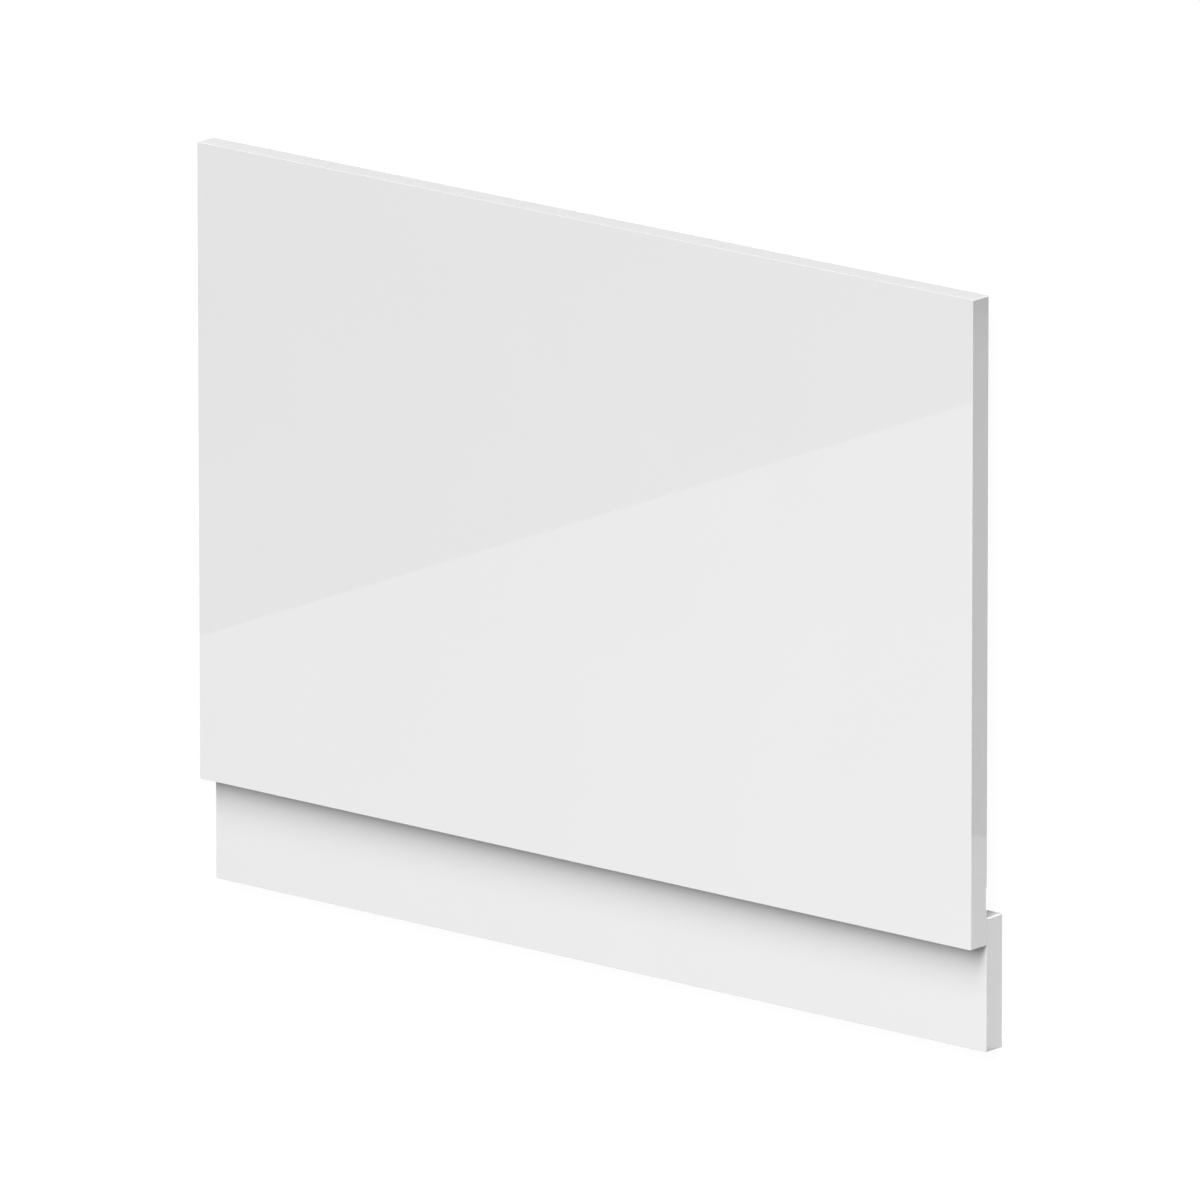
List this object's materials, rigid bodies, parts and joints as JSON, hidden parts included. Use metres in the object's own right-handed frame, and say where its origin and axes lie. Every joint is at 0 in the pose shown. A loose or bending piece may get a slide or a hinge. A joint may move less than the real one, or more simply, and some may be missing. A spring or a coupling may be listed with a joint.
{
  "type": "bath end panel",
  "caption": "Flat gloss-white rectangular board that closes off the end of a bath, with a recessed plinth board screwed behind its lower edge.",
  "frame": {"origin": "middle of the outline, on the plane of the plinth's back, which lies on the floor", "axes": "+X along the width, +Y from the plinth's foot to the panel's top edge, +Z out of the gloss face"},
  "size_m": [0.75, 0.572, 0.036],
  "materials": {
    "gloss_white_foil": "gloss",
    "zinc_plated_steel": "satin"
  },
  "bodies": {
    "root": {"panel": "gloss_white_foil", "plinth": "gloss_white_foil"}
  },
  "joints": []
}
